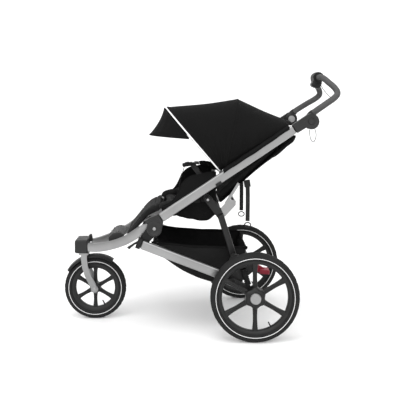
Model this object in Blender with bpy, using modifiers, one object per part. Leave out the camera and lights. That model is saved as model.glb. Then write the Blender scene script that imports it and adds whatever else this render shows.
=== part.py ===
"""Jogging stroller with one seat and three wheels.

Metres, +Z up, the stroller faces -X and its left side is -Y. The origin is on the floor,
below the centre of the whole object. A pair of numbers is a point (x, z) in a side plane.
"""
import math

import bmesh
import bpy
from mathutils import Vector

# Wheels
REAR_RADIUS = 0.200
FRONT_RADIUS = 0.1525
REAR_HUB = (0.2455, REAR_RADIUS)
FRONT_HUB = (-0.509, FRONT_RADIUS)
REAR_WHEEL_Y = 0.320
TYRE_WIDTH = 0.047
WHEEL_STEPS = 40
SPOKE_ANGLES = (30, 90, 150)

# Frame, side view
HINGE = (-0.206, 0.497)
MAIN_LOW = (-0.177, 0.543)
MAIN_TOP = (0.432, 0.949)
LOWER_FRONT = (-0.265, 0.423)
LOWER_REAR = (0.108, 0.2807)
HANDLE_PIVOT = (0.507, 0.983)
RIVET = (0.037, 0.627)
KNEE = (0.0974, 0.552)
LEG_FOOT = (0.160, 0.355)
ARM_PIVOT = (0.150, 0.255)
CROSS_TUBE = (0.237, 0.312)
SPRING_TOP = (0.197, 0.318)
SPRING_FOOT = (0.222, 0.236)
SPRING_Y = 0.2737
CANOPY_PIVOT = (0.094, 0.726)
SWIVEL_X = -0.567
TUBE_HEIGHT = 0.042
TUBE_WIDTH = 0.022
TUBE_ROUND = 0.008

# Frame, layers across, each (inner, outer) distance from the middle plane
TUBE_LAYER = (0.254, 0.276)
COVER_LAYER = (0.2505, 0.2805)
LUG_LAYER = (0.2345, 0.2497)
FRONT_LUG_LAYER = (0.207, 0.2335)
LINK_LAYER = (0.2135, 0.2205)
LEG_LAYER = (0.221, 0.2445)
KNUCKLE_LAYER = (0.2455, 0.2575)
ARM_LAYER = (0.2585, 0.2805)
CANOPY_HALF = 0.240
FABRIC = 0.003
GAP = 0.0003
SIDES = (("left", -1), ("right", 1))


def clear_scene():
    for item in list(bpy.data.objects):
        bpy.data.objects.remove(item, do_unlink=True)


clear_scene()
model = bpy.data.collections.new("jogging_stroller")
cutters = bpy.data.collections.new("cutters")
bpy.context.scene.collection.children.link(model)
bpy.context.scene.collection.children.link(cutters)


def material(name, colour, roughness, metallic=0.0):
    made = bpy.data.materials.new(name)
    made.use_nodes = True
    shader = made.node_tree.nodes["Principled BSDF"]
    shader.inputs["Base Color"].default_value = (*colour, 1.0)
    shader.inputs["Roughness"].default_value = roughness
    shader.inputs["Metallic"].default_value = metallic
    return made


LOOKS = {
    "aluminium": ((0.52, 0.52, 0.52), 0.38, 1.0),
    "grey_plastic": ((0.055, 0.055, 0.06), 0.5),
    "black_plastic": ((0.018, 0.018, 0.02), 0.45),
    "black_paint": ((0.015, 0.015, 0.016), 0.4),
    "steel": ((0.5, 0.5, 0.52), 0.3, 1.0),
    "tyre_rubber": ((0.022, 0.022, 0.022), 0.8),
    "foam": ((0.09, 0.09, 0.09), 0.85),
    "black_fabric": ((0.012, 0.012, 0.013), 0.95),
    "grey_fabric": ((0.045, 0.045, 0.047), 0.95),
    "webbing": ((0.012, 0.012, 0.012), 0.9),
    "red_plastic": ((0.3, 0.03, 0.05), 0.4),
    "button_grey": ((0.3, 0.3, 0.31), 0.4),
}


def place(name, data, look, collection=model):
    thing = bpy.data.objects.new(name, data)
    collection.objects.link(thing)
    data.materials.append(material(name, *LOOKS[look]))
    return thing


def hide(thing):
    """Make an object a hidden guide or cutter."""
    for owner in list(thing.users_collection):
        owner.objects.unlink(thing)
    cutters.objects.link(thing)
    thing.hide_render = True
    thing.display_type = "WIRE"
    return thing


def combine(thing, operation, *tools):
    """Join or cut a mesh with others, which become hidden guides."""
    for tool in tools:
        step = thing.modifiers.new(operation.lower(), "BOOLEAN")
        step.operation = operation
        step.object = hide(tool)
    return thing


def smooth(thing, degrees=35):
    thing.data.shade_smooth()
    thing.data.set_sharp_from_angle(angle=math.radians(degrees))
    return thing


def block(name, size, centre, look, tilt=0.0, edge=0.0):
    """A box with rounded edges; tilt in degrees lifts its +X end."""
    form = bmesh.new()
    bmesh.ops.create_cube(form, size=1.0)
    bmesh.ops.scale(form, vec=size, verts=form.verts)
    mesh = bpy.data.meshes.new(name)
    form.to_mesh(mesh)
    form.free()
    thing = place(name, mesh, look)
    thing.location = centre
    thing.rotation_euler = (0.0, -math.radians(tilt), 0.0)
    if edge:
        rounding = thing.modifiers.new("edges", "BEVEL")
        rounding.width = edge
        rounding.segments = 2
    return thing


def across(layer, side):
    """The middle and the width of a layer on one side."""
    return side * (layer[0] + layer[1]) / 2, layer[1] - layer[0]


def bar(name, start, end, height, layer, side, look, edge=0.0):
    """A straight bar of box section between two points of a side plane."""
    middle, width = across(layer, side)
    run = (end[0] - start[0], end[1] - start[1])
    centre = ((start[0] + end[0]) / 2, middle, (start[1] + end[1]) / 2)
    tilt = math.degrees(math.atan2(run[1], run[0]))
    return block(name, (math.hypot(*run), width, height), centre, look, tilt, edge)


def arc(centre, radius, first, last, count):
    """Points on an arc, angles in degrees from +X towards +Z."""
    spread = [first + (last - first) * i / (count - 1) for i in range(count)]
    return [
        (
            centre[0] + radius * math.cos(math.radians(a)),
            centre[1] + radius * math.sin(math.radians(a)),
        )
        for a in spread
    ]


def capsule(start, end, start_radius, end_radius, count=8):
    """Outline of a link with two round ends."""
    heading = math.degrees(math.atan2(end[1] - start[1], end[0] - start[0]))
    ahead = arc(end, end_radius, heading - 90, heading + 90, count)
    return ahead + arc(start, start_radius, heading + 90, heading + 270, count)


def ribbon(path, half):
    """Outline at a distance to each side of a path of side-plane points."""
    points = [Vector(p) for p in path]
    sides = [[], []]
    for i, point in enumerate(points):
        run = points[min(i + 1, len(points) - 1)] - points[max(i - 1, 0)]
        normal = Vector((-run.y, run.x)).normalized() * half
        sides[0].append(tuple(point + normal))
        sides[1].append(tuple(point - normal))
    return sides[0] + sides[1][::-1]


def as_mesh(curve_object):
    """Turn a curve into a welded mesh object of the same name."""
    depsgraph = bpy.context.evaluated_depsgraph_get()
    mesh = bpy.data.meshes.new_from_object(curve_object.evaluated_get(depsgraph))
    form = bmesh.new()
    form.from_mesh(mesh)
    bmesh.ops.remove_doubles(form, verts=form.verts, dist=0.00005)
    bmesh.ops.recalc_face_normals(form, faces=form.faces)
    form.to_mesh(mesh)
    form.free()
    name = curve_object.name
    matrix = curve_object.matrix_world.copy()
    bpy.data.objects.remove(curve_object, do_unlink=True)
    thing = bpy.data.objects.new(name, mesh)
    thing.matrix_world = matrix
    model.objects.link(thing)
    return thing


def plate(name, outline, layer, side, look):
    """A flat outline of the side plane, as thick as its layer."""
    middle, width = across(layer, side)
    curve = bpy.data.curves.new(name, "CURVE")
    curve.dimensions = "2D"
    curve.fill_mode = "BOTH"
    curve.extrude = width / 2
    spline = curve.splines.new("POLY")
    spline.points.add(len(outline) - 1)
    for point, (x, z) in zip(spline.points, outline):
        point.co = (x, z, 0.0, 1.0)
    spline.use_cyclic_u = True
    thing = place(name, curve, look)
    thing.location = (0.0, middle, 0.0)
    thing.rotation_euler = (math.pi / 2, 0.0, 0.0)
    bpy.context.view_layer.update()
    return as_mesh(thing)


def rod(name, points, radius, look, sides=2, smooth_path=False, resolution=4):
    """A round tube through points (x, y, z)."""
    curve = bpy.data.curves.new(name, "CURVE")
    curve.dimensions = "3D"
    curve.bevel_depth = radius
    curve.bevel_resolution = sides
    curve.use_fill_caps = True
    curve.resolution_u = resolution
    kind = "BEZIER" if smooth_path else "POLY"
    spline = curve.splines.new(kind)
    if smooth_path:
        spline.bezier_points.add(len(points) - 1)
        for knot, place_at in zip(spline.bezier_points, points):
            knot.co = place_at
            knot.handle_left_type = "AUTO"
            knot.handle_right_type = "AUTO"
    else:
        spline.points.add(len(points) - 1)
        for knot, place_at in zip(spline.points, points):
            knot.co = (*place_at, 1.0)
    return place(name, curve, look)


def pin(name, centre, layer, side, radius, look, steps=20):
    """A cylinder across the stroller, filling one layer."""
    middle, width = across(layer, side)
    form = bmesh.new()
    bmesh.ops.create_cone(
        form,
        cap_ends=True,
        segments=steps,
        radius1=radius,
        radius2=radius,
        depth=width,
    )
    mesh = bpy.data.meshes.new(name)
    form.to_mesh(mesh)
    form.free()
    thing = place(name, mesh, look)
    thing.location = (centre[0], middle, centre[1])
    thing.rotation_euler = (math.pi / 2, 0.0, 0.0)
    return smooth(thing)


def turned(name, profile, centre, look, steps=WHEEL_STEPS, closed=True):
    """A profile of (radius, height) turned about an axis across the stroller."""
    mesh = bpy.data.meshes.new(name)
    points = [(radius, 0.0, height) for radius, height in profile]
    links = [(i, i + 1) for i in range(len(points) - 1)]
    if closed:
        links.append((len(points) - 1, 0))
    mesh.from_pydata(points, links, [])
    thing = place(name, mesh, look)
    screw = thing.modifiers.new("turn", "SCREW")
    screw.steps = steps
    screw.render_steps = steps
    screw.use_merge_vertices = True
    screw.merge_threshold = 0.0001
    thing.location = centre
    thing.rotation_euler = (math.pi / 2, 0.0, 0.0)
    return thing


def sheet(name, rows, thickness, look):
    """A fabric sheet through rows of points, given its thickness by Solidify."""
    mesh = bpy.data.meshes.new(name)
    width = len(rows[0])
    points = [p for row in rows for p in row]
    faces = [
        (r * width + c, r * width + c + 1, (r + 1) * width + c + 1, (r + 1) * width + c)
        for r in range(len(rows) - 1)
        for c in range(width - 1)
    ]
    mesh.from_pydata(points, [], faces)
    thing = place(name, mesh, look)
    skin = thing.modifiers.new("thickness", "SOLIDIFY")
    skin.thickness = thickness
    skin.offset = 0.0
    skin.use_even_offset = True
    return thing


def wheel(prefix, centre, radius, width, hub_radius, hub_half, rim_depth, spoke, bore):
    """A tyre and a spoked rim; returns both."""
    half = width / 2
    bead = radius - 0.042
    tyre_profile = [
        (bead + 0.004, half * 0.62),
        (bead + 0.018, half),
        (radius - 0.009, half * 0.82),
        (radius, half * 0.30),
        (radius, -half * 0.30),
        (radius - 0.009, -half * 0.82),
        (bead + 0.018, -half),
        (bead + 0.004, -half * 0.62),
    ]
    tyre = turned(f"{prefix}_tyre", tyre_profile, centre, "tyre_rubber")
    seat = bead + 0.004 - GAP
    rim_profile = [
        (seat - rim_depth, half * 0.45),
        (seat, half * 0.62),
        (seat, -half * 0.62),
        (seat - rim_depth, -half * 0.45),
    ]
    rim = turned(f"{prefix}_rim", rim_profile, centre, "black_plastic")
    hub_profile = [
        (0.0, hub_half),
        (hub_radius * 0.9, hub_half),
        (hub_radius, hub_half * 0.6),
        (hub_radius, -hub_half * 0.6),
        (hub_radius * 0.9, -hub_half),
        (0.0, -hub_half),
    ]
    hub = turned(f"{prefix}_hub_form", hub_profile, centre, "black_plastic", 24, False)
    reach = 2 * (seat - rim_depth / 2)
    bars = [
        block(f"{prefix}_spoke_{a}", (reach, half * 0.7, spoke), centre, "black_plastic", a)
        for a in SPOKE_ANGLES
    ]
    combine(rim, "UNION", hub, *bars)
    layer = (abs(centre[1]) - 0.1, abs(centre[1]) + 0.1)
    side = -1 if centre[1] < 0 else 1
    hole = pin(f"{prefix}_bore", (centre[0], centre[2]), layer, side, bore, "steel", 16)
    combine(rim, "DIFFERENCE", hole)
    return tyre, rim


def lower_frame():
    for name, side in SIDES:
        bar(f"lower_tube_{name}", LOWER_FRONT, LOWER_REAR, TUBE_HEIGHT, TUBE_LAYER, side,
            "aluminium", TUBE_ROUND)
        lug = plate(f"hinge_lug_{name}", capsule(HINGE, LOWER_FRONT, 0.028, 0.021),
                    LUG_LAYER, side, "black_plastic")
        socket = bar(f"lug_socket_{name}", (-0.2855, 0.431), (-0.2655, 0.4235), 0.046,
                     (LUG_LAYER[0], TUBE_LAYER[1]), side, "black_plastic")
        combine(lug, "UNION", socket)
        outline = [
            (0.1018, 0.260), (0.128, 0.252), (0.148, 0.231), (0.172, 0.236), (0.230, 0.285),
            (0.256, 0.306), (0.252, 0.330), (0.210, 0.346), (0.180, 0.372), (0.150, 0.378),
            (0.138, 0.355), (0.127, 0.305), (0.118, 0.3025),
        ]
        knuckle = plate(f"knuckle_{name}", outline, KNUCKLE_LAYER, side, "grey_plastic")
        socket = bar(f"knuckle_socket_{name}", (0.1088, 0.2803), (0.125, 0.2741), 0.044,
                     (KNUCKLE_LAYER[0], TUBE_LAYER[1]), side, "grey_plastic")
        seat = bar(f"spring_seat_{name}", (0.176, 0.316), (0.212, 0.328), 0.010,
                   (KNUCKLE_LAYER[0] + 0.004, ARM_LAYER[1] + 0.004), side, "grey_plastic")
        seat.location.x += 0.001
        seat.location.z += 0.003
        combine(knuckle, "UNION", socket, seat)
    inner = KNUCKLE_LAYER[0] - GAP
    rod("rear_cross_tube", [(CROSS_TUBE[0], y, CROSS_TUBE[1]) for y in (-inner, inner)],
        0.012, "black_paint")


def suspension():
    turns, per_turn, radius, wire = 5, 9, 0.0125, 0.0022
    count = turns * per_turn
    run = Vector((SPRING_TOP[0] - SPRING_FOOT[0], SPRING_TOP[1] - SPRING_FOOT[1]))
    lean = math.degrees(math.atan2(run.y, run.x)) - 90
    for name, side in SIDES:
        arm = plate(f"swing_arm_{name}", capsule(ARM_PIVOT, REAR_HUB, 0.019, 0.019),
                    ARM_LAYER, side, "grey_plastic")
        middle = side * SPRING_Y
        perch_at = Vector(SPRING_FOOT) + run * 0.13
        perch = block(f"perch_{name}", (0.028, 0.022, 0.005), (perch_at.x, middle, perch_at.y),
                      "grey_plastic", lean)
        rib_at = Vector(SPRING_FOOT) + run * 0.03
        rib = block(f"perch_rib_{name}", (0.016, 0.014, 0.024), (rib_at.x, middle, rib_at.y),
                    "grey_plastic", lean)
        combine(arm, "UNION", perch, rib)
        foot = Vector((SPRING_FOOT[0], middle, SPRING_FOOT[1]))
        axis = Vector((run.x, 0.0, run.y))
        across_axis = Vector((0.0, 1.0, 0.0))
        other = axis.normalized().cross(across_axis)
        points = []
        for i in range(count + 1):
            angle = 2 * math.pi * i / per_turn
            around = across_axis * math.cos(angle) + other * math.sin(angle)
            points.append(foot + axis * (0.22 + 0.72 * i / count) + around * radius)
        rod(f"spring_{name}", points, wire, "black_paint", sides=0)


def rear_wheels():
    for name, side in SIDES:
        centre = (REAR_HUB[0], side * REAR_WHEEL_Y, REAR_HUB[1])
        wheel(f"rear_{name}", centre, REAR_RADIUS, TYRE_WIDTH, 0.046, 0.034, 0.010, 0.022,
              0.0235)
        layer = (ARM_LAYER[1] + 0.006, REAR_WHEEL_Y + 0.036)
        pin(f"release_cap_{name}", REAR_HUB, layer, side, 0.023, "steel", 24)


def pedal_and_brake():
    layer = (0.175, 0.233)
    lever = plate("parking_pedal", capsule(CROSS_TUBE, (0.292, 0.292), 0.021, 0.012),
                  (0.196, 0.212), -1, "red_plastic")
    tread = bar("pedal_tread", (0.279, 0.289), (0.324, 0.285), 0.020, layer, -1,
                "red_plastic", 0.004)
    hole = pin("pedal_bore", CROSS_TUBE, (0.19, 0.22), -1, 0.0124, "steel")
    combine(lever, "UNION", tread)
    combine(lever, "DIFFERENCE", hole)


def main_frame():
    direction = (Vector(MAIN_TOP) - Vector(MAIN_LOW)).normalized()
    for name, side in SIDES:
        bar(f"main_tube_{name}", MAIN_LOW, MAIN_TOP, TUBE_HEIGHT, TUBE_LAYER, side,
            "aluminium", TUBE_ROUND)
        low = Vector(MAIN_LOW) - direction * GAP
        outline = (
            arc(HINGE, 0.036, 150, 330, 12)
            + [tuple(low + Vector((direction.y, -direction.x)) * 0.022)]
            + [tuple(low - Vector((direction.y, -direction.x)) * 0.022)]
            + [(-0.222, 0.548), (-0.252, 0.531)]
        )
        plate(f"hinge_knuckle_{name}", outline, COVER_LAYER, side, "grey_plastic")
        top = Vector(MAIN_TOP) + direction * GAP
        outline = (
            [tuple(top + Vector((direction.y, -direction.x)) * 0.022)]
            + arc(HANDLE_PIVOT, 0.036, 230, 470, 14)
            + [tuple(top - Vector((direction.y, -direction.x)) * 0.022)]
        )
        cover = plate(f"handle_joint_{name}", outline, (0.2535, 0.2805), side, "grey_plastic")
        hole = pin(f"button_bore_{name}", HANDLE_PIVOT, (0.24, 0.30), side, 0.0145, "steel")
        combine(cover, "DIFFERENCE", hole)
        pin(f"handle_button_{name}", HANDLE_PIVOT, (0.2575, 0.2830), side, 0.014,
            "button_grey")


def fold_linkage():
    for name, side in SIDES:
        bar(f"rear_leg_{name}", KNEE, LEG_FOOT, 0.029, LEG_LAYER, side, "black_paint", 0.007)
    rocker = plate("rocker_frame", capsule(RIVET, KNEE, 0.017, 0.020), LINK_LAYER, -1,
                   "black_plastic")
    other = plate("rocker_right", capsule(RIVET, KNEE, 0.017, 0.020), LINK_LAYER, 1,
                  "black_plastic")
    parts = [other]
    for name, side in SIDES:
        outline = [(0.093, 0.572), (0.118, 0.541), (0.168, 0.594), (0.170, 0.614),
                   (0.138, 0.622)]
        parts.append(plate(f"bracket_{name}", outline, LINK_LAYER, side, "black_plastic"))
        parts.append(bar(f"u_arm_{name}", (0.122, 0.600), (0.183, 0.696), 0.012, LINK_LAYER,
                         side, "aluminium"))
    parts.append(block("u_bar", (0.012, 2 * LINK_LAYER[1], 0.012), (0.161, 0.0, 0.611),
                       "aluminium", 45))
    for name, side in SIDES:
        parts.append(pin(f"rivet_{name}", RIVET, (LINK_LAYER[0] + 0.002, TUBE_LAYER[0] - GAP),
                         side, 0.009, "steel", 16))
    combine(rocker, "UNION", *parts)


FRONT_PATH = [
    (-0.5345, 0.0505, 0.3612), (-0.510, 0.066, 0.3635), (-0.475, 0.089, 0.370),
    (-0.4235, 0.122, 0.386), (-0.355, 0.165, 0.416), (-0.315, 0.190, 0.442),
    (-0.268, 0.219, 0.478),
]


def front_frame():
    shape = bpy.data.curves.new("tube_section", "CURVE")
    shape.dimensions = "2D"
    spline = shape.splines.new("POLY")
    outline = [
        (half_width * (TUBE_WIDTH / 2), half_height * (TUBE_HEIGHT / 2))
        for half_width, half_height in (
            (1, 0.6), (0.6, 1), (-0.6, 1), (-1, 0.6), (-1, -0.6), (-0.6, -1), (0.6, -1),
            (1, -0.6),
        )
    ]
    spline.points.add(len(outline) - 1)
    for point, (x, y) in zip(spline.points, outline):
        point.co = (x, y, 0.0, 1.0)
    spline.use_cyclic_u = True
    section = hide(bpy.data.objects.new("tube_section", shape))
    for name, side in SIDES:
        points = [(x, side * y, z) for x, y, z in FRONT_PATH]
        tube = rod(f"front_tube_{name}", points, 0.0, "aluminium", smooth_path=True,
                   resolution=2)
        tube.data.bevel_mode = "OBJECT"
        tube.data.bevel_object = section
        tube = as_mesh(tube)
        lug = plate(f"front_lug_{name}", capsule(HINGE, (-0.264, 0.484), 0.024, 0.017),
                    FRONT_LUG_LAYER, side, "black_plastic")
        combine(tube, "UNION", lug)
    bracket = block("front_bracket", (0.0635, 0.118, 0.066), (-0.5735, 0.0, 0.3635),
                    "grey_plastic", 0.0, 0.009)
    bore = rod("swivel_bore", [(SWIVEL_X, 0.0, 0.32), (SWIVEL_X, 0.0, 0.38)], 0.0115,
               "steel")
    combine(bracket, "DIFFERENCE", as_mesh(bore))
    block("swivel_lock_knob", (0.014, 0.030, 0.034), (-0.5325, 0.0, 0.398),
          "black_plastic", 8.0, 0.004)
    outline = [
        (-0.4330, 0.400), (-0.4345, 0.418), (-0.4150, 0.438), (-0.3950, 0.444),
        (-0.3750, 0.441), (-0.3580, 0.430), (-0.3650, 0.414), (-0.3850, 0.400),
    ]
    plate("footrest", outline, (-0.094, 0.094), 1, "grey_plastic")
    latch = [(-0.336, 0.396), (-0.326, 0.386), (-0.300, 0.408), (-0.262, 0.427),
             (-0.262, 0.445), (-0.274, 0.440), (-0.278, 0.430), (-0.300, 0.418)]
    plate("fold_latch", latch, (0.2000, 0.2060), -1, "black_plastic")


def fork_and_wheel():
    path = [(-0.561, 0.3235), (-0.561, 0.300), (-0.556, 0.262), (-0.543, 0.221),
            (-0.520, 0.176), (-0.509, 0.1525)]
    fork = block("fork", (0.046, 0.089, 0.0095), (-0.563, 0.0, 0.32455), "aluminium")
    blades = [
        plate(f"blade_{name}", ribbon(path, 0.0145), (0.0345, 0.0445), side, "aluminium")
        for name, side in SIDES
    ]
    ends = [pin(f"dropout_{name}", FRONT_HUB, (0.0345, 0.0445), side, 0.0175, "aluminium")
            for name, side in SIDES]
    stem = as_mesh(rod("stem", [(SWIVEL_X, 0.0, 0.322), (SWIVEL_X, 0.0, 0.372)], 0.0102,
                       "steel"))
    combine(fork, "UNION", *blades, *ends, stem)
    combine(fork, "DIFFERENCE", pin("axle_bore", FRONT_HUB, (-0.05, 0.05), 1, 0.0066, "steel", 16))
    rows = []
    for x, z in arc(FRONT_HUB, 0.1625, 147, 57, 15):
        drop = Vector((FRONT_HUB[0] - x, FRONT_HUB[1] - z)).normalized()
        rows.append([
            (x + drop.x * lower, y, z + drop.y * lower)
            for y, lower in ((-0.031, 0.010), (-0.027, 0.002), (-0.012, -0.001),
                             (0.012, -0.001), (0.027, 0.002), (0.031, 0.010))
        ])
    sheet("mudguard", rows, 0.003, "black_plastic")
    wheel("front", (FRONT_HUB[0], 0.0, FRONT_HUB[1]), FRONT_RADIUS, 0.045, 0.024, 0.0342,
          0.010, 0.019, 0.0065)
    pin("front_axle", FRONT_HUB, (-0.044, 0.044), 1, 0.006, "steel", 16)


def seat():
    rows = []
    for x, low, high in ((-0.170, 0.556, 0.585), (-0.115, 0.536, 0.620), (-0.060, 0.528, 0.712),
                         (0.030, 0.517, 0.740), (0.075, 0.545, 0.748)):
        rows.append([(x, -0.206, high), (x, -0.200, (low + high) / 2), (x, -0.185, low),
                     (x, 0.0, low - 0.002), (x, 0.185, low), (x, 0.200, (low + high) / 2),
                     (x, 0.206, high)])
    sheet("seat_sling", rows, FABRIC, "black_fabric")
    bar("seat_cushion", (-0.172, 0.584), (0.060, 0.546), 0.028, (-0.178, 0.178), 1,
        "grey_fabric", 0.010)
    bar("seat_back", (0.0857, 0.6164), (0.380, 0.880), 0.028, (-0.178, 0.178), 1,
        "grey_fabric", 0.010)
    outline = [
        (0.100, 0.6095), (0.4395, 0.9136), (0.466, 0.906), (0.459, 0.875), (0.426, 0.851),
        (0.383, 0.813), (0.336, 0.789), (0.290, 0.760), (0.244, 0.727), (0.170, 0.655),
        (0.112, 0.598),
    ]
    plate("back_pocket", outline, (-0.186, 0.186), 1, "black_fabric")
    outline = [
        (-0.345, 0.441), (-0.333, 0.452), (-0.2955, 0.4992), (-0.2473, 0.5553), (-0.200, 0.583),
        (-0.180, 0.590), (-0.178, 0.560), (-0.192, 0.556), (-0.245, 0.530), (-0.286, 0.486),
        (-0.338, 0.434),
    ]
    plate("leg_rest", outline, (-0.148, 0.148), 1, "grey_fabric")


def harness():
    buckle = bar("harness", (-0.082, 0.754), (-0.016, 0.766), 0.020, (-0.030, 0.030), 1,
                 "black_plastic")
    crotch = [(-0.0885, 0.5895), (-0.086, 0.640), (-0.070, 0.755)]
    parts = [plate("crotch_strap", ribbon(crotch, 0.002), (-0.0125, 0.0125), 1, "webbing")]
    pads = [(0.135, 0.695), (0.105, 0.735), (0.060, 0.768), (-0.022, 0.766)]
    for name, side in SIDES:
        parts.append(plate(f"shoulder_pad_{name}", ribbon(pads, 0.007), (0.024, 0.066), side,
                           "black_fabric"))
    combine(buckle, "UNION", *parts)


def bow(base, apex, half, count=13, power=2.6):
    """Points over an arch from the left foot to the right foot."""
    points = []
    for i in range(count):
        angle = math.pi * i / (count - 1)
        y = -half * math.copysign(abs(math.cos(angle)) ** (2 / power), math.cos(angle))
        rise = math.sin(angle) ** (2 / power)
        points.append((
            base[0] + (apex[0] - base[0]) * rise,
            y,
            base[1] + (apex[1] - base[1]) * rise,
        ))
    return points


FRONT_BOW = ((0.094, 0.752), (-0.160, 1.046))
MIDDLE_BOW = ((0.120, 0.772), (0.196, 1.087))
VISOR_LOW = 0.905
REAR_EDGE = ((0.418, 0.968), (0.430, 0.984))


def between(first, second, part):
    """A bow's feet and top on the way from one bow to another."""
    return tuple(
        tuple(a + (b - a) * part for a, b in zip(p, q)) for p, q in zip(first, second)
    )


def canopy():
    front = [between(FRONT_BOW, MIDDLE_BOW, t) for t in (0.0, 0.33, 0.66, 0.93)]
    rear = [between(MIDDLE_BOW, REAR_EDGE, t) for t in (0.07, 0.38, 0.69, 1.0)]
    sheet("canopy_front_fabric", [bow(*b, CANOPY_HALF) for b in front], FABRIC, "black_fabric")
    sheet("canopy_rear_fabric", [bow(*b, CANOPY_HALF) for b in rear], FABRIC, "black_fabric")
    for name, shape, inset in (("front", FRONT_BOW, 0.006), ("middle", MIDDLE_BOW, 0.013)):
        half = CANOPY_HALF - inset
        reach = Vector(shape[1]) - Vector(shape[0])
        apex = Vector(shape[1]) - reach.normalized() * (inset + 0.001)
        foot = [(CANOPY_PIVOT[0], side * half, CANOPY_PIVOT[1]) for _, side in SIDES]
        points = [foot[0], *bow(shape[0], apex, half), foot[1]]
        rod(f"canopy_{name}_bow", points, 0.0035, "black_plastic", sides=1)
    top = [p for p in bow(*FRONT_BOW, CANOPY_HALF) if p[2] > VISOR_LOW]
    start = top[0]
    tip = (-0.230, 0.912)
    rows = [[(x - 0.010, y * 0.985, z - 0.001) for x, y, z in top]]
    for part, hollow in ((0.5, 0.012), (1.0, 0.0)):
        row = []
        for x, y, z in top:
            across_part = 1.0 - (abs(y) / abs(start[1])) ** 2.4
            end = (start[0] - 0.010 + (tip[0] - start[0]) * across_part,
                   tip[1] - 0.010 * (1 - across_part))
            row.append((x - 0.010 + (end[0] - x + 0.010) * part + hollow * across_part,
                        y * 0.985, z - 0.001 + (end[1] - z) * part))
        rows.append(row)
    sheet("sun_visor", rows, FABRIC, "black_fabric")


BASKET_ROWS = (
    (-0.205, 0.402, 0.418, 0.200), (-0.222, 0.378, 0.417, 0.200), (-0.160, 0.330, 0.413, 0.200),
    (-0.080, 0.280, 0.408, 0.200), (0.010, 0.238, 0.402, 0.200), (0.090, 0.222, 0.398, 0.200),
    (0.160, 0.235, 0.395, 0.198), (0.200, 0.288, 0.392, 0.186), (0.211, 0.340, 0.391, 0.184),
    (0.224, 0.378, 0.390, 0.184),
)


def basket():
    """An open-topped bag: floor, two side walls, a front and a rear wall in one sheet."""
    rows = []
    for x, low, high, half in BASKET_ROWS:
        rows.append([(x, -half, high), (x, -half + 0.003, low + 0.55 * (high - low)),
                     (x, -half + 0.012, low + 0.010), (x, -0.100, low), (x, 0.100, low),
                     (x, half - 0.012, low + 0.010), (x, half - 0.003, low + 0.55 * (high - low)),
                     (x, half, high)])
    sheet("basket", rows, FABRIC, "black_fabric")


STRAP_X = 0.231
STRAP_Y = 0.150
STRAP_TOP = 0.690
STRAP_END = 0.507


def recline_straps():
    for name, side in SIDES:
        middle = side * STRAP_Y
        block(f"recline_strap_{name}", (0.020, 0.0016, STRAP_TOP - STRAP_END),
              (STRAP_X, middle, (STRAP_TOP + STRAP_END) / 2), "webbing")
        ring = arc((STRAP_X, STRAP_END - 0.018), 0.014, 0, 360, 17)[:-1]
        points = [(x, middle, z) for x, z in ring]
        loop = rod(f"strap_ring_{name}", points, 0.0022, "black_plastic", sides=1)
        loop.data.splines[0].use_cyclic_u = True


GRIP = [
    (0.497, 0.239, 1.003), (0.530, 0.238, 1.027), (0.585, 0.225, 1.063), (0.630, 0.204, 1.092),
    (0.6476, 0.187, 1.114), (0.640, 0.168, 1.138), (0.618, 0.140, 1.165), (0.600, 0.112, 1.186),
    (0.594, 0.075, 1.193), (0.594, 0.042, 1.1935),
]


def handlebar():
    points = [(x, -y, z) for x, y, z in GRIP] + [(x, y, z) for x, y, z in reversed(GRIP)]
    grip = as_mesh(rod("handlebar", points, 0.0145, "foam", smooth_path=True, resolution=2))
    discs = [plate(f"handle_disc_{name}", capsule(HANDLE_PIVOT, (0.510, 1.008), 0.030, 0.018),
                   (0.2240, 0.2530), side, "black_plastic")
             for name, side in SIDES]
    combine(grip, "UNION", *discs)
    centre = (0.594, 0.0, 1.1935)
    profile = [(0.027, 0.034), (0.027, -0.034), (0.0150, -0.034), (0.0150, 0.034)]
    turned("twist_brake", profile, centre, "black_plastic", 20)


def brake_cord():
    loop = [(0.5245, -0.2655, 0.9492), (0.5310, -0.2655, 0.925), (0.5275, -0.2655, 0.900),
            (0.5170, -0.2655, 0.888), (0.5070, -0.2655, 0.900), (0.5020, -0.2655, 0.925),
            (0.5010, -0.2655, 0.9460)]
    rod("brake_cord", loop, 0.0014, "black_plastic", sides=2)


def brake_cable():
    """Runs from under the brake grip to the left arm of the handlebar."""
    cable = [(0.6000, -0.037, 1.1640), (0.6060, -0.050, 1.1450), (0.6140, -0.085, 1.1220),
             (0.6220, -0.130, 1.1010), (0.6270, -0.170, 1.0870), (0.6260, -0.196, 1.0745)]
    rod("brake_cable", cable, 0.0016, "black_plastic", sides=2)


lower_frame()
suspension()
rear_wheels()
pedal_and_brake()
main_frame()
fold_linkage()
front_frame()
fork_and_wheel()
seat()
harness()
canopy()
basket()
recline_straps()
handlebar()
brake_cord()
brake_cable()
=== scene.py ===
import math

import bmesh
import bpy
from mathutils import Matrix, Vector


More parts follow.
